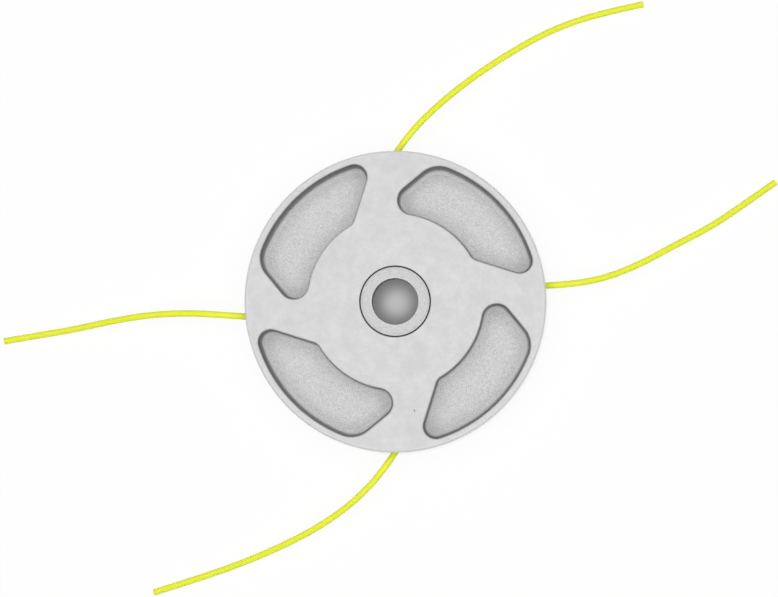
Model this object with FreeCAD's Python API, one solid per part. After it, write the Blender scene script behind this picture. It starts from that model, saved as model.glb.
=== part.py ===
import FreeCAD, Part
import math
import os

# Fixed line trimmer head, in millimetres. The head lies on its ground face at z = 0, with the
# side that faces the gearbox up. The arbor's axis is the Z axis. Angles are in degrees, counted
# anticlockwise from +X as seen from above.

# Cast body
body_diameter = 110.0
body_height = 20.0
rim_top_round = 1.2
rim_ground_round = 2.0
round_steps = 3
quarter_count = 4
mould_draft = 1.5

# Blind pinwheel pockets in the upper face, one in each quarter
rim_wall = 2.6
plate_radius = 32.0
pocket_depth = 12.0
pocket_draft = 3.5
pocket_edge_break = 0.35
pocket_floor_round = 1.5

# The two straight walls of the first pocket: the direction of the wall's normal, which points
# into the pocket, and the wall's distance from the axis along that normal
guide_wall_normal = 72.6
guide_wall_offset = 23.0
slant_wall_normal = 309.6
slant_wall_offset = -30.0

# Corner radii of a pocket at the upper face
guide_rim_corner = 4.7
guide_plate_corner = 4.0
slant_plate_corner = 5.5
slant_rim_corner = 9.5

# Well round the hub in the ground face, where the lines bend
plate_thickness = 5.0
web_wall = 3.0
well_edge_round = 1.2
well_ceiling_round = 2.0
hub_wall = 2.1
nut_recess = 6.0
hub_edge_round = 0.5

# Line ports: trumpet-shaped passages through the spokes, narrowest between two pockets
port_heading = 82.0
port_neck_width = 7.0
port_flank_radius = 50.0
port_height = 6.0
port_corner_break = 1.3
port_lip_break = 0.65
port_overrun = 4.0

# Turned bush pressed into the hub
bush_diameter = 25.4
bore_diameter = 17.0
bush_edge_break = 0.2
bore_edge_break = 0.4
seat_lead_width = 0.45
seat_lead_depth = 1.0

# Nylon line. The joints between its nodes lie in the ports, at a depth below the rim.
line_diameter = 2.4
ground_clearance = 0.1
joint_depth = 2.2
arc_share = 0.45

# Worked out from the sizes above
body_radius = body_diameter / 2
pocket_rim_radius = body_radius - rim_wall
pocket_floor_height = body_height - pocket_depth
well_radius = plate_radius - web_wall
well_ceiling_height = body_height - plate_thickness
hub_radius = bush_diameter / 2 + hub_wall
port_level = body_height / 2
lying_level = line_diameter / 2 + ground_clearance
quarter_turn = 360.0 / quarter_count

UP = FreeCAD.Vector(0, 0, 1)
AXIS_POINT = FreeCAD.Vector(0, 0, 0)

# Ports are numbered anticlockwise from the one between the first pocket and the next
TOP, LEFT, BOTTOM, RIGHT = range(quarter_count)

# The lines' free ends from the rim to the tip: the distances past the rim and to the left of
# the port's axis, as shares of the body's radius, and the height, which is 1 at the port's
# level and 0 where the line lies on the ground
RIGHT_END = [
    (0.135, 0.080, 1.0),
    (0.380, 0.157, 0.885),
    (0.610, 0.289, 0.632),
    (0.826, 0.451, 0.333),
    (1.043, 0.603, 0.092),
    (1.247, 0.786, 0.0),
    (1.437, 0.965, 0.006),
]
TOP_END = [
    (0.141, -0.113, 1.0),
    (0.356, -0.272, 0.908),
    (0.579, -0.474, 0.609),
    (0.794, -0.710, 0.287),
    (0.988, -0.962, 0.057),
    (1.140, -1.252, 0.0),
    (1.250, -1.560, 0.006),
]
LEFT_END = [
    (0.138, 0.053, 1.0),
    (0.401, 0.074, 0.885),
    (0.661, 0.123, 0.632),
    (0.907, 0.198, 0.333),
    (1.152, 0.288, 0.092),
    (1.389, 0.362, 0.0),
    (1.621, 0.436, 0.006),
]
BOTTOM_END = [
    (0.143, -0.111, 1.0),
    (0.373, -0.269, 0.908),
    (0.587, -0.491, 0.609),
    (0.766, -0.743, 0.287),
    (0.924, -1.007, 0.057),
    (1.069, -1.290, 0.0),
    (1.187, -1.541, 0.006),
]


def toward(angle):
    """The unit vector in the XY plane at an angle."""
    return FreeCAD.Vector(math.cos(math.radians(angle)), math.sin(math.radians(angle)), 0)


def quarters(shape):
    """The shape once in each quarter of the head."""
    copies = []
    for number in range(quarter_count):
        copy = shape.copy()
        copy.rotate(AXIS_POINT, UP, number * quarter_turn)
        copies.append(copy)
    return copies


def edge_between(start, end):
    return Part.LineSegment(start, end).toShape()


def arc_about(centre, start, end):
    """The shorter arc from start to end, about a centre at the same height."""
    radius = (start - centre).Length
    half_way = (start - centre) + (end - centre)
    half_way.normalize()
    return Part.Arc(start, centre + half_way * radius, end).toShape()


# Profiles that are turned round the axis

def stepped_arc(centre, start, end):
    """Points from start to end on the arc about a centre, joined by a few equal chords."""
    first = start - centre
    last = end - centre
    turn = first.getAngle(last)
    points = []
    for step in range(round_steps + 1):
        share = step / round_steps
        from_first = math.sin((1 - share) * turn) / math.sin(turn)
        from_last = math.sin(share * turn) / math.sin(turn)
        points.append(centre + first * from_first + last * from_last)
    return points


def rounded_profile(corners):
    """A closed face in the XZ plane from (radius, height, corner radius) corners."""
    places = [FreeCAD.Vector(radius, 0, height) for radius, height, _ in corners]
    points = []
    for index, (_, _, rounding) in enumerate(corners):
        here = places[index]
        if rounding == 0:
            points.append(here)
            continue
        back = (places[index - 1] - here).normalize()
        ahead = (places[(index + 1) % len(places)] - here).normalize()
        half_angle = back.getAngle(ahead) / 2
        reach = rounding / math.tan(half_angle)
        centre = here + (back + ahead).normalize() * (rounding / math.sin(half_angle))
        points += stepped_arc(centre, here + back * reach, here + ahead * reach)
    return Part.Face(Part.makePolygon(points + points[:1]))


def turned(corners):
    return rounded_profile(corners).revolve(AXIS_POINT, UP, 360)


def drafted(height_change):
    """How far a wall with the mould's draft moves sideways over a height."""
    return height_change * math.tan(math.radians(mould_draft))


def turned_body():
    """The disc with its hub seat and the well in its ground face, before pockets and ports."""
    seat_radius = bush_diameter / 2
    hub_root_radius = hub_radius + drafted(well_ceiling_height - nut_recess)
    well_ceiling_radius = well_radius - drafted(well_ceiling_height)
    return turned([
        (seat_radius, nut_recess, 0),
        (seat_radius, body_height - seat_lead_depth, 0),
        (seat_radius + seat_lead_width, body_height, 0),
        (body_radius, body_height, rim_top_round),
        (body_radius, 0, rim_ground_round),
        (well_radius, 0, well_edge_round),
        (well_ceiling_radius, well_ceiling_height, well_ceiling_round),
        (hub_root_radius, well_ceiling_height, well_ceiling_round),
        (hub_radius, nut_recess, hub_edge_round),
    ])


def arbor_bush():
    outer = bush_diameter / 2
    inner = bore_diameter / 2
    return turned([
        (inner, nut_recess + bore_edge_break, 0),
        (inner, body_height - bore_edge_break, 0),
        (inner + bore_edge_break, body_height, 0),
        (outer - bush_edge_break, body_height, 0),
        (outer, body_height - bush_edge_break, 0),
        (outer, nut_recess + bush_edge_break, 0),
        (outer - bush_edge_break, nut_recess, 0),
        (inner + bore_edge_break, nut_recess, 0),
    ])


# Pinwheel pockets

def corner_centre(wall_normal, wall_offset, ring_radius, side):
    """The centre of a corner that lies at a distance from a wall and from the axis."""
    normal = toward(wall_normal)
    along = toward(wall_normal - 90 * side)
    reach = math.sqrt(ring_radius ** 2 - wall_offset ** 2)
    return normal * wall_offset + along * reach


def pocket_corner(wall, side, corner_radius, at_rim, inset):
    """One rounded corner between a straight wall and a ring wall of a pocket.

    Returns its centre and the points where it meets the straight wall and the ring wall.
    """
    wall_normal, wall_offset = wall
    if at_rim:
        centre_radius = pocket_rim_radius - corner_radius
        ring_radius = pocket_rim_radius - inset
    else:
        centre_radius = plate_radius + corner_radius
        ring_radius = plate_radius + inset
    centre = corner_centre(wall_normal, wall_offset + corner_radius, centre_radius, side)
    on_wall = centre - toward(wall_normal) * (corner_radius - inset)
    on_ring = centre * (ring_radius / centre.Length)
    return centre, on_wall, on_ring


def pocket_outline(inset, height):
    """The closed outline of the first pocket, drawn in by an inset, at a height."""
    guide_wall = (guide_wall_normal, guide_wall_offset)
    slant_wall = (slant_wall_normal, slant_wall_offset)
    corners = [
        pocket_corner(guide_wall, 1, guide_rim_corner, True, inset),
        pocket_corner(guide_wall, 1, guide_plate_corner, False, inset),
        pocket_corner(slant_wall, -1, slant_plate_corner, False, inset),
        pocket_corner(slant_wall, -1, slant_rim_corner, True, inset),
    ]
    guide_rim, guide_plate, slant_plate, slant_rim = corners
    edges = [
        arc_about(guide_rim[0], guide_rim[2], guide_rim[1]),
        edge_between(guide_rim[1], guide_plate[1]),
        arc_about(guide_plate[0], guide_plate[1], guide_plate[2]),
        arc_about(AXIS_POINT, guide_plate[2], slant_plate[2]),
        arc_about(slant_plate[0], slant_plate[2], slant_plate[1]),
        edge_between(slant_plate[1], slant_rim[1]),
        arc_about(slant_rim[0], slant_rim[1], slant_rim[2]),
        arc_about(AXIS_POINT, slant_rim[2], guide_rim[2]),
    ]
    outline = Part.Wire(edges)
    outline.translate(UP * height)
    return outline


def pocket_wall_profile(base, inward):
    """The section of a pocket's wall from its broken edge down to its floor."""
    slope = math.tan(math.radians(pocket_draft))

    def place(inset, height):
        return base + inward * inset + UP * (height - body_height)

    above = pocket_edge_break
    wall_foot = place(pocket_depth * slope, pocket_floor_height)
    up_wall = (place(0, body_height) - wall_foot).normalize()
    half_angle = up_wall.getAngle(inward) / 2
    reach = pocket_floor_round / math.tan(half_angle)
    bisector = (up_wall + inward).normalize()
    centre = wall_foot + bisector * (pocket_floor_round / math.sin(half_angle))
    floor_round = stepped_arc(centre, wall_foot + up_wall * reach, wall_foot + inward * reach)
    return Part.makePolygon([
        place(-pocket_edge_break - above, body_height + above),
        place(pocket_edge_break * slope, body_height - pocket_edge_break),
    ] + floor_round)


def pocket_cutter():
    """The space of the first pocket, with drafted walls and a rounded floor edge."""
    mouth = pocket_outline(0, body_height)
    start = mouth.OrderedVertexes[0].Point
    rim_corner = pocket_corner(
        (guide_wall_normal, guide_wall_offset), 1, guide_rim_corner, True, 0
    )[0]
    corner_at_mouth = FreeCAD.Vector(rim_corner.x, rim_corner.y, body_height)
    profile = pocket_wall_profile(start, (corner_at_mouth - start).normalize())
    sweep = Part.BRepOffsetAPI.MakePipeShell(mouth)
    sweep.setBiNormalMode(UP)
    sweep.add(profile)
    sweep.build()
    walls = sweep.shape()
    free_edges = [e for e in walls.Edges if len(walls.ancestorsOfType(e, Part.Face)) == 1]
    caps = [Part.Face(Part.Wire(chain)) for chain in Part.sortEdges(free_edges)]
    shell = Part.Shell(walls.Faces + caps)
    shell.sewShape()
    return Part.Solid(shell)


# Line ports

def port_neck():
    """The middle of the narrowest place between the first pocket and the next one."""
    corner_middle = pocket_corner(
        (slant_wall_normal, slant_wall_offset), -1, slant_plate_corner, False, 0
    )[0]
    next_guide_normal = toward(guide_wall_normal + quarter_turn)
    wall_gap = guide_wall_offset - next_guide_normal.dot(corner_middle) - slant_plate_corner
    return corner_middle + next_guide_normal * (slant_plate_corner + wall_gap / 2)


def port_half_width(along):
    """Half the port's width at a distance along it from its neck."""
    return port_neck_width / 2 + port_flank_radius - math.sqrt(port_flank_radius ** 2 - along ** 2)


def port_cutter():
    """The space of the port between the first pocket and the next one."""
    neck = port_neck()
    outward = body_radius - neck.Length + port_overrun
    inward = neck.Length - (well_radius + hub_radius) / 2

    def flank(along, side):
        return FreeCAD.Vector(along, side * port_half_width(along), 0)

    outline = Part.Wire([
        Part.Arc(flank(-inward, 1), flank(0, 1), flank(outward, 1)).toShape(),
        edge_between(flank(outward, 1), flank(outward, -1)),
        Part.Arc(flank(outward, -1), flank(0, -1), flank(-inward, -1)).toShape(),
        edge_between(flank(-inward, -1), flank(-inward, 1)),
    ])
    space = Part.Face(outline).extrude(UP * port_height)
    long_edges = [e for e in space.Edges if e.BoundBox.XLength > outward and e.BoundBox.ZLength < 0.01]
    space = space.makeChamfer(port_corner_break, long_edges)
    space.rotate(AXIS_POINT, UP, port_heading)
    space.translate(neck + UP * (port_level - port_height / 2))
    return space


def port_lip_section(centre, side, half_width, growth):
    """The eight-sided section of a port's mouth, grown all round, about its centre."""
    wide = half_width + growth
    high = port_height / 2 + growth
    corner = port_corner_break + growth * (2 - math.sqrt(2))
    places = [
        (wide, high - corner),
        (wide - corner, high),
        (corner - wide, high),
        (-wide, high - corner),
        (-wide, corner - high),
        (corner - wide, -high),
        (wide - corner, -high),
        (wide, corner - high),
    ]
    points = [centre + side * across + UP * height for across, height in places]
    return Part.makePolygon(points + points[:1])


def port_lip_cutter():
    """The bevel round the mouth of the first port, square to the rim there."""
    neck = port_neck()
    heading = toward(port_heading)
    along_neck = neck.dot(heading)
    reach = math.sqrt(along_neck ** 2 - neck.Length ** 2 + body_radius ** 2) - along_neck
    mouth = neck + heading * reach + UP * port_level
    outward = FreeCAD.Vector(mouth.x, mouth.y, 0).normalize()
    side = UP.cross(outward)
    half_width = port_half_width(reach)
    depth = 2 * port_lip_break
    inner = port_lip_section(mouth - outward * depth, side, half_width, port_lip_break - depth)
    outer = port_lip_section(mouth + outward * depth, side, half_width, port_lip_break + depth)
    return Part.makeLoft([inner, outer], True, True)


def head_body():
    body = turned_body()
    for space in (pocket_cutter(), port_cutter(), port_lip_cutter()):
        body = body.cut(Part.makeCompound(quarters(space)))
    return body


# Lines

def beside_port(port, along, across, height):
    """A point from its distances along a port from the neck and to the left of its axis."""
    turn = port * quarter_turn
    neck = FreeCAD.Rotation(UP, turn).multVec(port_neck())
    heading = port_heading + turn
    return neck + toward(heading) * along + toward(heading + 90) * across + UP * height


def in_port(port, reach_share, across_share):
    """A point in a port. 1 is as far out as the rim, -1 as far in as the well's wall."""
    neck_radius = port_neck().Length
    reach = body_radius - neck_radius if reach_share > 0 else neck_radius - well_radius
    return beside_port(port, reach_share * reach, across_share * port_neck_width, port_level)


def in_well(angle, share):
    """A point in the well, at a share of the way from the hub to the well's wall."""
    radius = hub_radius + share * (well_radius - hub_radius)
    return toward(angle) * radius + UP * port_level


def past_rim(port, places):
    """The points of a free end from its table."""
    reach = body_radius - port_neck().Length
    points = []
    for past, across, height in places:
        level = lying_level + height * (port_level - lying_level)
        points.append(beside_port(port, reach + past * body_radius, across * body_radius, level))
    return points


def joint_between(port, inner, outer):
    """The point on the run from inner to outer that lies at the joints' depth in a port."""
    heading = toward(port_heading + port * quarter_turn)
    depth_place = beside_port(port, body_radius - port_neck().Length - joint_depth, 0, port_level)
    share = (depth_place - inner).dot(heading) / (outer - inner).dot(heading)
    return inner + (outer - inner) * share


def line_routes():
    """The points that the tube of each line node rounds."""
    right = past_rim(RIGHT, RIGHT_END)
    top = past_rim(TOP, TOP_END)
    left = past_rim(LEFT, LEFT_END)
    bottom = past_rim(BOTTOM, BOTTOM_END)
    line_a = [
        in_port(RIGHT, 0.065, 0.11),
        in_well(29.8, 0.54),
        in_well(91.7, 0.184),
        in_port(TOP, -0.992, 0.297),
        in_port(TOP, 0.49, 0.124),
    ]
    line_b = [
        in_port(LEFT, 0.2, 0.24),
        in_well(210.3, 0.548),
        in_well(271.7, 0.184),
        in_port(BOTTOM, -0.992, 0.297),
        in_port(BOTTOM, 0.49, 0.124),
    ]
    right_joint = joint_between(RIGHT, line_a[0], right[0])
    top_joint = joint_between(TOP, line_a[-1], top[0])
    left_joint = joint_between(LEFT, line_b[0], left[0])
    bottom_joint = joint_between(BOTTOM, line_b[-1], bottom[0])
    return {
        "line_a_held": [right_joint] + line_a + [top_joint],
        "line_a_right_end": [right_joint] + right,
        "line_a_top_end": [top_joint] + top,
        "line_b_held": [left_joint] + line_b + [bottom_joint],
        "line_b_left_end": [left_joint] + left,
        "line_b_bottom_end": [bottom_joint] + bottom,
    }


def line_path(points):
    """Straight runs through the points, with the corners rounded by tangent arcs."""
    edges = []
    radii = []
    last_end = points[0]
    for before, here, after in zip(points, points[1:], points[2:]):
        back = before - here
        ahead = after - here
        shorter = min(back.Length, ahead.Length)
        half_turn = (math.pi - back.getAngle(ahead)) / 2
        radius = arc_share * shorter / math.tan(half_turn)
        back.normalize()
        ahead.normalize()
        arc_start = here + back * (arc_share * shorter)
        arc_end = here + ahead * (arc_share * shorter)
        bisector = (back + ahead).normalize()
        centre = here + bisector * (radius / math.cos(half_turn))
        edges.append(edge_between(last_end, arc_start))
        edges.append(Part.Arc(arc_start, centre - bisector * radius, arc_end).toShape())
        radii.append(radius)
        last_end = arc_end
    edges.append(edge_between(last_end, points[-1]))
    return Part.Wire(edges), radii


def line_tube(points):
    """A line of round section along a route."""
    path, radii = line_path(points)
    heading = (points[1] - points[0]).normalize()
    section = Part.Wire([Part.Circle(points[0], heading, line_diameter / 2).toShape()])
    tube = path.makePipeShell([section], True, False)
    full_volume = math.pi * line_diameter ** 2 / 4 * path.Length
    print(
        "length %.1f, volume share %.4f, arc radii %s"
        % (path.Length, tube.Volume / full_volume, [round(radius, 1) for radius in radii])
    )
    return tube


def main():
    nodes = {"head_body": head_body(), "arbor_bush": arbor_bush()}
    for name, points in line_routes().items():
        print(name, [(round(p.x, 2), round(p.y, 2), round(p.z, 2)) for p in points])
        nodes[name] = line_tube(points)
    os.makedirs("parts", exist_ok=True)
    for name, shape in nodes.items():
        print("%s: valid %s, solids %d, volume %.1f" % (name, shape.isValid(), len(shape.Solids), shape.Volume))
        shape.exportStep("parts/" + name + ".step")


main()
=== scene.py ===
import bpy
from mathutils import Matrix, Vector


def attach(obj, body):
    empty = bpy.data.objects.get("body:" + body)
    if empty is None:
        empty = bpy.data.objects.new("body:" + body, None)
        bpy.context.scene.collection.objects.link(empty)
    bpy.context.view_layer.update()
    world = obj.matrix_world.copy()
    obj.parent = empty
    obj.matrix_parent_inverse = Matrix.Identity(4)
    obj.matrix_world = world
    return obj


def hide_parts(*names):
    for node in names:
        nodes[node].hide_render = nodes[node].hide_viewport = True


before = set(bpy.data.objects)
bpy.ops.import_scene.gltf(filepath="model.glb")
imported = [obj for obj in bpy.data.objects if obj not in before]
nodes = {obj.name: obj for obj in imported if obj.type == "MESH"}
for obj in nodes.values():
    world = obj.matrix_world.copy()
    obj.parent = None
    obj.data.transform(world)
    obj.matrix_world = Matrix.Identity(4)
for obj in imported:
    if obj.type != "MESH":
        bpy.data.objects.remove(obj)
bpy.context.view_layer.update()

# Camera: a little off the head's axis, looking down from 0.93 m above its upper face
MM = 0.001
CAMERA_PLACE_MM = (26.9, -24.9, 950.0)
CAMERA_AIM_MM = (-2.2, 1.05, 20.0)
FOCAL_LENGTH_MM = 118.4
SENSOR_WIDTH_MM = 36.0

# Light: one wide soft lamp straight above, and a faint even light from all round
LAMP_PLACE = (0.0, 0.0, 1.4)
LAMP_AIM = (0.0, 0.0, 0.0)
LAMP_DIAMETER = 1.8
LAMP_POWER = 21.5
WORLD_STRENGTH = 0.12
BACKDROP_STRENGTH = 1.0

# Floor: just under the ground face, white to the camera beyond the head's rim
FLOOR_HALF_WIDTH = 3.0
FLOOR_HEIGHT = -0.0001
WHITE_FLOOR_RADII = (0.0530, 0.0570)
WHITE_FLOOR_SHARE = 0.92
# A painted shadow ring on the floor under the bore
BORE_SHADOW_START_RADII = (0.0010, 0.0080)
BORE_SHADOW_END_RADII = (0.012, 0.014)

# Lines: the routes of part.py, in metres
LINE_DIAMETER = 0.0024
ROUTES = {
    "line_a_right_end": [
        (0.05276, 0.00593, 0.0100),
        (0.06253, 0.00626, 0.0100),
        (0.07646, 0.00858, 0.0090),
        (0.09000, 0.01400, 0.0068),
        (0.10300, 0.02117, 0.0042),
        (0.11599, 0.02779, 0.0021),
        (0.12850, 0.03620, 0.0013),
        (0.14022, 0.04449, 0.00135),
    ],
    "line_a_top_end": [
        (-0.00174, 0.05217, 0.0100),
        (0.00430, 0.06138, 0.0100),
        (0.01461, 0.07187, 0.0092),
        (0.02731, 0.08247, 0.0066),
        (0.04181, 0.09237, 0.0038),
        (0.05702, 0.10101, 0.0018),
        (0.07398, 0.10707, 0.0013),
        (0.09160, 0.11070, 0.00135),
    ],
    "line_b_left_end": [
        (-0.05270, -0.00550, 0.0100),
        (-0.06249, -0.00476, 0.0100),
        (-0.07697, -0.00389, 0.0090),
        (-0.09151, -0.00457, 0.0068),
        (-0.10548, -0.00677, 0.0042),
        (-0.11951, -0.00980, 0.0021),
        (-0.13299, -0.01202, 0.0013),
        (-0.14619, -0.01427, 0.00135),
    ],
    "line_b_bottom_end": [
        (0.00179, -0.05218, 0.0100),
        (-0.00421, -0.06150, 0.0100),
        (-0.01457, -0.07282, 0.0092),
        (-0.02830, -0.08278, 0.0066),
        (-0.04340, -0.09060, 0.0038),
        (-0.05899, -0.09718, 0.0018),
        (-0.07551, -0.10291, 0.0013),
        (-0.09008, -0.10742, 0.00135),
    ],
}

# Colours of the casting
FACE_DARK = (0.530, 0.523, 0.525, 1)
FACE_PALE = (0.600, 0.592, 0.594, 1)
FACE_SPECK = (0.640, 0.632, 0.634, 1)
FACE_PATCH = (0.515, 0.508, 0.510, 1)
POCKET_FLOOR_DARK = (0.44, 0.435, 0.436, 1)
POCKET_FLOOR_PALE = (0.64, 0.634, 0.635, 1)
# Painted shade on the pocket walls
WALL_SHADE_DARK = (0.160, 0.158, 0.158, 1)
WALL_SHADE_PALE = (0.212, 0.210, 0.210, 1)
# Painted highlight on the round at the pocket walls' foot
WALL_FOOT_PAINTED_LIGHT = (0.76, 0.754, 0.755, 1)
SEAT_LEAD = (0.025, 0.025, 0.025, 1)
# Painted shade in the pockets' corners
CORNER_PAINTED_SHADE = (0.16, 0.158, 0.155, 1)
# Rubbed edges, also used as painted light on the bevels and the rim's round
RUBBED_EDGE_AND_PAINTED_LIGHT = (0.68, 0.674, 0.675, 1)
# Painted highlight on the outward side of the rim's round
RIM_PAINTED_HIGHLIGHT = (0.84, 0.834, 0.835, 1)
DARK_MARK = (0.09, 0.09, 0.09, 1)

# Colours of the bush, the lines and the backdrop
TURNED_DARK = (0.31, 0.306, 0.307, 1)
TURNED_PALE = (0.54, 0.535, 0.536, 1)
TURNED_SPECK = (0.50, 0.497, 0.498, 1)
# Painted shade on the bush's bore wall
BORE_WALL_SHADE = (0.08, 0.08, 0.08, 1)
# Painted highlight on the bore's bevel
BORE_BEVEL_HIGHLIGHT = (0.95, 0.944, 0.945, 1)
BUSH_RIM = (0.10, 0.10, 0.10, 1)
BUSH_JOINT = (0.03, 0.03, 0.03, 1)
NYLON_DARK = (0.82, 0.93, 0.032, 1)
NYLON_PALE = (0.87, 0.97, 0.046, 1)
WHITE = (1, 1, 1, 1)
# Painted shadow on the floor under the bore
BORE_PAINTED_SHADOW = (0.56, 0.56, 0.56, 1)

# Bands over which a look changes: heights above the ground face, in metres
POCKET_MOUTH_HEIGHTS = (0.0190, 0.0197)
UNDER_POCKET_HEIGHTS = (0.0060, 0.0075)
# Heights over which the walls' painted shade gives way to painted bounce light from the floor
WALL_SHADE_HEIGHTS = (0.0082, 0.0158)
SEAT_LEAD_HEIGHTS = (0.0186, 0.0190)
BROKEN_EDGE_HEIGHTS = (0.0194, 0.0197)
RIM_ROUND_HEIGHTS = (0.0180, 0.0190)

# Distances from the axis, in metres
POCKET_RIM_RADII = (0.0530, 0.0538)
POCKET_PLATE_RADII = (0.0300, 0.0310)
SEAT_LEAD_RADII = (0.01300, 0.01310)
RIM_ROUND_RADII = (0.0538, 0.0544)
BUSH_RIM_RADII = (0.0110, 0.0122)
BUSH_JOINT_RADII = (0.01242, 0.01260)

# How far a surface faces up: 1 on a level face, 0 on an upright wall
WALL_SLOPES = (0.08, 0.30)
FOOT_START_SLOPES = (0.25, 0.5)
FOOT_END_SLOPES = (0.90, 0.995)
BROKEN_EDGE_SLOPES = (0.96, 0.995)
SHOULDER_SLOPES = (0.5, 0.85)
BORE_WALL_SLOPES = (0.2, 0.6)
BORE_EDGE_START_SLOPES = (0.3, 0.6)
BORE_EDGE_END_SLOPES = (0.8, 0.95)

# The part of a noise's range where most of its values lie
NOISE_RANGE = (0.3, 0.7)

# Two small dark marks on the upper face: the place and the radius of each
DARK_MARKS = (
    ((0.00707, -0.03967, 0.02), 0.00032),
    ((-0.02427, -0.02160, 0.02), 0.00022),
)

# Turning marks on the bush: how fast they change outwards, along the bore and round the axis
MARKS_PER_RADIUS = 5200.0
MARKS_PER_HEIGHT = 4200.0
MARKS_PER_ANGLE = 6.0


def make_camera():
    data = bpy.data.cameras.new("camera")
    data.sensor_width = SENSOR_WIDTH_MM
    data.lens = FOCAL_LENGTH_MM
    camera = bpy.data.objects.new("camera", data)
    bpy.context.scene.collection.objects.link(camera)
    place = Vector(CAMERA_PLACE_MM) * MM
    aim = Vector(CAMERA_AIM_MM) * MM
    back = (place - aim).normalized()
    right = Vector((0.0, 1.0, 0.0)).cross(back).normalized()
    up = back.cross(right)
    turned = Matrix((right, up, back)).transposed()
    camera.matrix_world = Matrix.Translation(place) @ turned.to_4x4()
    bpy.context.scene.camera = camera


def smooth_line(name, points):
    """A round tube on one NURBS spline. Its points' radius is the tube's, in metres."""
    curve = bpy.data.curves.new(name, "CURVE")
    curve.dimensions = "3D"
    curve.resolution_u = 16
    curve.bevel_depth = 1.0
    curve.bevel_resolution = 6
    curve.use_fill_caps = True
    spline = curve.splines.new("NURBS")
    spline.points.add(len(points) - 1)
    for place, point in zip(points, spline.points):
        point.co = (*place, 1.0)
        point.radius = LINE_DIAMETER / 2
    spline.order_u = 3
    spline.use_endpoint_u = True
    piece = bpy.data.objects.new(name, curve)
    bpy.context.scene.collection.objects.link(piece)
    return piece


def free_line(node):
    points = ROUTES[node]
    piece = smooth_line(node + "_line", points)
    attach(piece, "root")
    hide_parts(node)
    return piece


class Tree:
    """A node tree that is built in short steps: a new material's, or the world's."""

    def __init__(self, name, world=None):
        self.material = None if world else bpy.data.materials.new(name)
        owner = world or self.material
        owner.use_nodes = True
        self.tree = owner.node_tree
        self.tree.nodes.clear()
        self.output = self.node("OutputWorld" if world else "OutputMaterial")

    def node(self, kind, **values):
        made = self.tree.nodes.new("ShaderNode" + kind)
        for key, value in values.items():
            setattr(made, key, value)
        return made

    def link(self, start, end):
        self.tree.links.new(start, end)

    def feed(self, socket, value):
        if isinstance(value, bpy.types.NodeSocket):
            self.link(value, socket)
        else:
            socket.default_value = value

    def filled(self, kind, values):
        """A node whose inputs, by name, have these values."""
        made = self.node(kind)
        for name, value in values.items():
            self.feed(made.inputs[name], value)
        return made

    def math(self, operation, *values):
        made = self.node("Math", operation=operation)
        for socket, value in zip(made.inputs, values):
            self.feed(socket, value)
        return made.outputs[0]

    def times(self, first, second):
        return self.math("MULTIPLY", first, second)

    def noise(self, where, scale, detail, roughness):
        values = {"Vector": where, "Scale": scale, "Detail": detail, "Roughness": roughness}
        return self.filled("TexNoise", values).outputs["Fac"]

    def ramp(self, value, band, start, end):
        """Smoothly from the start to the end as the value goes through the band."""
        made = self.node("MapRange", clamp=True, interpolation_type="SMOOTHSTEP")
        self.feed(made.inputs["Value"], value)
        made.inputs["From Min"].default_value = band[0]
        made.inputs["From Max"].default_value = band[1]
        made.inputs["To Min"].default_value = start
        made.inputs["To Max"].default_value = end
        return made.outputs[0]

    def above(self, value, band, share=1.0):
        """0 below the band, the share above it."""
        return self.ramp(value, band, 0.0, share)

    def below(self, value, band, share=1.0):
        """The share below the band, 0 above it."""
        return self.ramp(value, band, share, 0.0)

    def mix(self, share, first, second):
        made = self.node("Mix", data_type="RGBA")
        self.feed(made.inputs["Factor"], share)
        self.feed(made.inputs[6], first)
        self.feed(made.inputs[7], second)
        return made.outputs[2]

    def bump(self, height, distance, strength, normal=None):
        values = {"Strength": strength, "Distance": distance, "Height": height}
        if normal is not None:
            values["Normal"] = normal
        return self.filled("Bump", values).outputs["Normal"]

    def rounded_edges(self, radius):
        """The surface's normal, bent round its sharp edges."""
        made = self.node("Bevel", samples=8)
        made.inputs["Radius"].default_value = radius
        return made.outputs[0]

    def surface(self, values):
        shader = self.filled("BsdfPrincipled", values)
        self.link(shader.outputs[0], self.output.inputs[0])
        return self.material

    def two_shaders(self, share, first, second):
        mixer = self.node("MixShader")
        self.link(share, mixer.inputs[0])
        self.link(first.outputs[0], mixer.inputs[1])
        self.link(second.outputs[0], mixer.inputs[2])
        self.link(mixer.outputs[0], self.output.inputs[0])


def object_point(tree):
    """The point in the row frame, in metres."""
    return tree.node("TexCoord").outputs["Object"]


def parts_of(tree, vector):
    """A vector's X, Y and Z."""
    parts = tree.node("SeparateXYZ")
    tree.link(vector, parts.inputs[0])
    return parts.outputs


def from_axis(tree, place):
    """The distance from the head's axis, in metres."""
    x, y = place["X"], place["Y"]
    return tree.math("SQRT", tree.math("ADD", tree.times(x, x), tree.times(y, y)))


def spot(tree, point, place, radius):
    """1 inside a small round mark with soft edges, 0 outside."""
    away = tree.node("VectorMath", operation="DISTANCE")
    tree.link(point, away.inputs[0])
    away.inputs[1].default_value = place
    return tree.below(away.outputs["Value"], (radius * 0.5, radius * 1.2))


def slope_upward(tree):
    """How far the surface faces up: 1 on a level face, 0 on an upright wall."""
    return parts_of(tree, tree.node("NewGeometry").outputs["True Normal"])["Z"]


def edge_wear(tree, rounded):
    """1 along the edges, where a rounded normal leaves the surface's own normal."""
    compare = tree.node("VectorMath", operation="DOT_PRODUCT")
    tree.link(rounded, compare.inputs[0])
    tree.link(tree.node("NewGeometry").outputs["Normal"], compare.inputs[1])
    return tree.below(compare.outputs["Value"], (0.90, 0.995))


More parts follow.
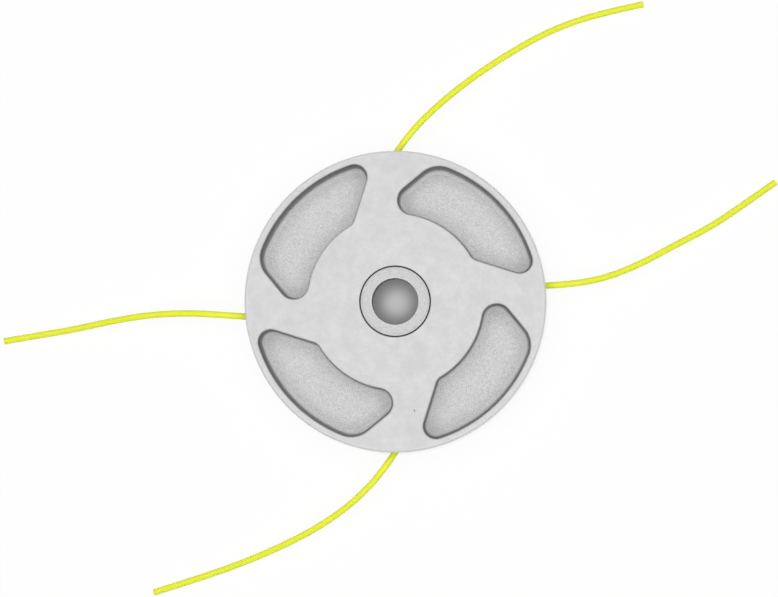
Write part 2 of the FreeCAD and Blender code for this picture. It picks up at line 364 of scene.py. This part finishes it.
def cast_aluminium():
    """Tumbled grey casting: soft mottle on the faces, fine grain in the pockets."""
    tree = Tree("cast_aluminium")
    point = object_point(tree)
    place = parts_of(tree, point)
    height = place["Z"]
    radius = from_axis(tree, place)
    upward = slope_upward(tree)

    # Where the pockets and their walls are
    in_pocket = tree.below(height, POCKET_MOUTH_HEIGHTS)
    in_pocket = tree.times(in_pocket, tree.below(radius, POCKET_RIM_RADII))
    in_pocket = tree.times(in_pocket, tree.above(radius, POCKET_PLATE_RADII))
    in_pocket = tree.times(in_pocket, tree.above(height, UNDER_POCKET_HEIGHTS))
    on_wall = tree.times(in_pocket, tree.below(upward, WALL_SLOPES))

    # Texture of the cast skin, from coarse to fine
    patches = tree.noise(point, scale=60.0, detail=3.0, roughness=0.5)
    blotch = tree.noise(point, scale=230.0, detail=4.0, roughness=0.6)
    mottle = tree.noise(point, scale=900.0, detail=3.0, roughness=0.6)
    grain = tree.noise(point, scale=2600.0, detail=2.0, roughness=0.6)

    # Upper face, rim and underside, and the pockets' floors
    face = tree.mix(tree.above(blotch, NOISE_RANGE), FACE_DARK, FACE_PALE)
    face = tree.mix(tree.times(tree.above(mottle, (0.4, 0.7)), 0.4), face, FACE_SPECK)
    face = tree.mix(tree.times(tree.above(patches, (0.45, 0.7)), 0.35), face, FACE_PATCH)
    floor = tree.mix(tree.above(grain, NOISE_RANGE), POCKET_FLOOR_DARK, POCKET_FLOOR_PALE)
    colour = tree.mix(in_pocket, face, floor)

    # Pocket walls: painted shade that gives way towards the floor to painted bounce light from
    # it, and a painted highlight on the round at the foot
    pocket_wall_shade = tree.mix(tree.above(blotch, NOISE_RANGE), WALL_SHADE_DARK, WALL_SHADE_PALE)
    pocket_wall_shade_share = tree.ramp(height, WALL_SHADE_HEIGHTS, start=0.40, end=1.0)
    colour = tree.mix(tree.times(on_wall, pocket_wall_shade_share), colour, pocket_wall_shade)
    # Painted highlight on the foot round, against its shade
    painted_foot_light = tree.times(
        tree.above(upward, FOOT_START_SLOPES), tree.below(upward, FOOT_END_SLOPES)
    )
    colour = tree.mix(tree.times(painted_foot_light, in_pocket), colour, WALL_FOOT_PAINTED_LIGHT)

    # Dark gap round the bush, and painted shade in the corners from an ambient occlusion mask
    in_lead = tree.times(
        tree.above(height, SEAT_LEAD_HEIGHTS), tree.below(radius, SEAT_LEAD_RADII)
    )
    colour = tree.mix(tree.times(in_lead, 0.98), colour, SEAT_LEAD)
    corners = tree.node("AmbientOcclusion", samples=8, inside=False)
    corners.inputs["Distance"].default_value = 0.004
    painted_corner_shade = tree.below(corners.outputs["AO"], (0.2, 0.7), share=0.2)
    colour = tree.mix(painted_corner_shade, colour, CORNER_PAINTED_SHADE)

    # Wear on the sharp edges; the tumbled bevels and the rim's round are painted lighter, partly
    # as wear and partly as painted light against their shade, and the round's outward side gets
    # a painted highlight
    rounded = tree.rounded_edges(radius=0.0003)
    patchy = tree.ramp(mottle, (0.35, 0.6), start=0.2, end=0.7)
    wear = tree.times(edge_wear(tree, rounded), patchy)
    wear = tree.times(wear, tree.math("SUBTRACT", 1.0, on_wall))
    colour = tree.mix(wear, colour, RUBBED_EDGE_AND_PAINTED_LIGHT)
    broken_edge = tree.times(
        tree.above(height, BROKEN_EDGE_HEIGHTS), tree.below(upward, BROKEN_EDGE_SLOPES)
    )
    rim_round = tree.times(
        tree.above(height, RIM_ROUND_HEIGHTS), tree.above(radius, RIM_ROUND_RADII)
    )
    # Wear on the bevels, and painted light on the rim's round against its shade
    wear_and_painted_light = tree.times(tree.math("MAXIMUM", broken_edge, rim_round), 0.8)
    colour = tree.mix(wear_and_painted_light, colour, RUBBED_EDGE_AND_PAINTED_LIGHT)
    # Painted highlight on the rim round's outward-facing side
    painted_rim_highlight = tree.times(rim_round, tree.below(upward, SHOULDER_SLOPES, share=0.9))
    colour = tree.mix(painted_rim_highlight, colour, RIM_PAINTED_HIGHLIGHT)

    for mark, size in DARK_MARKS:
        colour = tree.mix(spot(tree, point, mark, size), colour, DARK_MARK)

    coarse = tree.times(grain, tree.ramp(in_pocket, (0.0, 1.0), start=0.55, end=1.0))
    normal = tree.bump(coarse, distance=0.00006, strength=0.6, normal=rounded)
    normal = tree.bump(blotch, distance=0.00015, strength=0.3, normal=normal)
    return tree.surface({
        "Base Color": colour,
        "Metallic": 0.2,
        "Roughness": tree.ramp(mottle, NOISE_RANGE, start=0.54, end=0.66),
        "Normal": normal,
    })


def turned_steel():
    """Pale turned face with fine rings round the bore."""
    tree = Tree("turned_steel")
    point = object_point(tree)
    place = parts_of(tree, point)
    radius = from_axis(tree, place)
    angle = tree.math("ARCTAN2", place["Y"], place["X"])
    upward = tree.math("ABSOLUTE", slope_upward(tree))
    ring_place = tree.filled("CombineXYZ", {
        "X": tree.times(radius, MARKS_PER_RADIUS),
        "Y": tree.times(place["Z"], MARKS_PER_HEIGHT),
        "Z": tree.times(angle, MARKS_PER_ANGLE),
    })
    rings = tree.noise(ring_place.outputs[0], scale=1.0, detail=3.0, roughness=0.6)
    mottle = tree.noise(point, scale=900.0, detail=3.0, roughness=0.6)

    # End faces, then painted shade on the bore's wall and a painted highlight on its bevel
    colour = tree.mix(tree.above(rings, NOISE_RANGE), TURNED_DARK, TURNED_PALE)
    speck = tree.times(tree.above(mottle, (0.5, 0.75)), 0.3)
    colour = tree.mix(speck, colour, TURNED_SPECK)
    # Painted shade on the bore's wall
    colour = tree.mix(tree.below(upward, BORE_WALL_SLOPES, share=0.8), colour, BORE_WALL_SHADE)
    # Painted highlight on the bore's bevel
    painted_bevel_highlight = tree.times(
        tree.above(upward, BORE_EDGE_START_SLOPES), tree.below(upward, BORE_EDGE_END_SLOPES)
    )
    colour = tree.mix(painted_bevel_highlight, colour, BORE_BEVEL_HIGHLIGHT)

    # The outer rim a little darker, and the dark joint with the casting
    colour = tree.mix(tree.above(radius, BUSH_RIM_RADII, share=0.10), colour, BUSH_RIM)
    joint = tree.times(tree.above(radius, BUSH_JOINT_RADII), 0.97)
    colour = tree.mix(joint, colour, BUSH_JOINT)

    rounded = tree.rounded_edges(radius=0.0001)
    return tree.surface({
        "Base Color": colour,
        "Metallic": 0.3,
        "Roughness": tree.ramp(rings, NOISE_RANGE, start=0.46, end=0.58),
        "Normal": tree.bump(rings, distance=0.00003, strength=0.5, normal=rounded),
    })


def yellow_nylon():
    """Bright yellow nylon, slightly translucent, with fine drawn scratches."""
    tree = Tree("yellow_nylon")
    point = object_point(tree)
    cloud = tree.noise(point, scale=220.0, detail=3.0, roughness=0.5)
    scratches = tree.noise(point, scale=1500.0, detail=2.0, roughness=0.5)
    return tree.surface({
        "Base Color": tree.mix(tree.above(cloud, NOISE_RANGE), NYLON_DARK, NYLON_PALE),
        "Roughness": tree.ramp(cloud, NOISE_RANGE, start=0.34, end=0.46),
        "Subsurface Weight": 0.9,
        "Subsurface Radius": (1.0, 1.0, 0.3),
        "Subsurface Scale": 0.0020,
        "Specular IOR Level": 0.25,
        "Normal": tree.bump(scratches, distance=0.00001, strength=0.15),
    })


def dress(piece, material):
    piece.data.materials.clear()
    piece.data.materials.append(material)


def backdrop_rays(tree):
    """1 for the rays that show the backdrop: to the camera, in a reflection or through glass."""
    path = tree.node("LightPath").outputs
    either = tree.math("MAXIMUM", path["Is Camera Ray"], path["Is Glossy Ray"])
    return tree.math("MAXIMUM", either, path["Is Transmission Ray"])


def make_floor():
    """A pale floor that keeps the head's shadow near it, with a painted shadow ring under the
    bore, and shows as white farther out.
    """
    mesh = bpy.data.meshes.new("floor")
    half = FLOOR_HALF_WIDTH
    corners = [(-half, -half, 0.0), (half, -half, 0.0), (half, half, 0.0), (-half, half, 0.0)]
    mesh.from_pydata(corners, [], [(0, 1, 2, 3)])
    floor = bpy.data.objects.new("floor", mesh)
    floor.location.z = FLOOR_HEIGHT
    bpy.context.scene.collection.objects.link(floor)

    tree = Tree("floor")
    radius = from_axis(tree, parts_of(tree, object_point(tree)))
    # Painted shadow under the bore
    painted_bore_shadow = tree.times(
        tree.above(radius, BORE_SHADOW_START_RADII), tree.below(radius, BORE_SHADOW_END_RADII)
    )
    shaded = tree.filled("BsdfDiffuse", {"Color": tree.mix(painted_bore_shadow, WHITE, BORE_PAINTED_SHADOW)})
    white = tree.filled("Emission", {"Strength": BACKDROP_STRENGTH})
    far_out = tree.above(radius, WHITE_FLOOR_RADII, share=WHITE_FLOOR_SHARE)
    tree.two_shaders(tree.times(far_out, backdrop_rays(tree)), shaded, white)
    dress(floor, tree.material)


def make_world():
    world = bpy.data.worlds.new("world")
    bpy.context.scene.world = world
    tree = Tree("world", world)
    soft = tree.filled("Background", {"Color": WHITE, "Strength": WORLD_STRENGTH})
    seen = tree.filled("Background", {"Color": WHITE, "Strength": BACKDROP_STRENGTH})
    tree.two_shaders(backdrop_rays(tree), soft, seen)


def make_lamp():
    data = bpy.data.lights.new("softbox", "AREA")
    data.shape = "DISK"
    data.size = LAMP_DIAMETER
    data.energy = LAMP_POWER
    lamp = bpy.data.objects.new("softbox", data)
    lamp.location = LAMP_PLACE
    lamp.rotation_mode = "QUATERNION"
    lamp.rotation_quaternion = (Vector(LAMP_AIM) - Vector(LAMP_PLACE)).to_track_quat("-Z", "Y")
    lamp.visible_camera = False
    bpy.context.scene.collection.objects.link(lamp)


make_camera()
line_pieces = [free_line(node) for node in ROUTES]

aluminium = cast_aluminium()
steel = turned_steel()
nylon = yellow_nylon()
dress(nodes["head_body"], aluminium)
dress(nodes["arbor_bush"], steel)
dress(nodes["line_a_held"], nylon)
dress(nodes["line_b_held"], nylon)
for piece in line_pieces:
    dress(piece, nylon)

make_floor()
make_world()
make_lamp()

bpy.context.scene.view_settings.view_transform = "Standard"
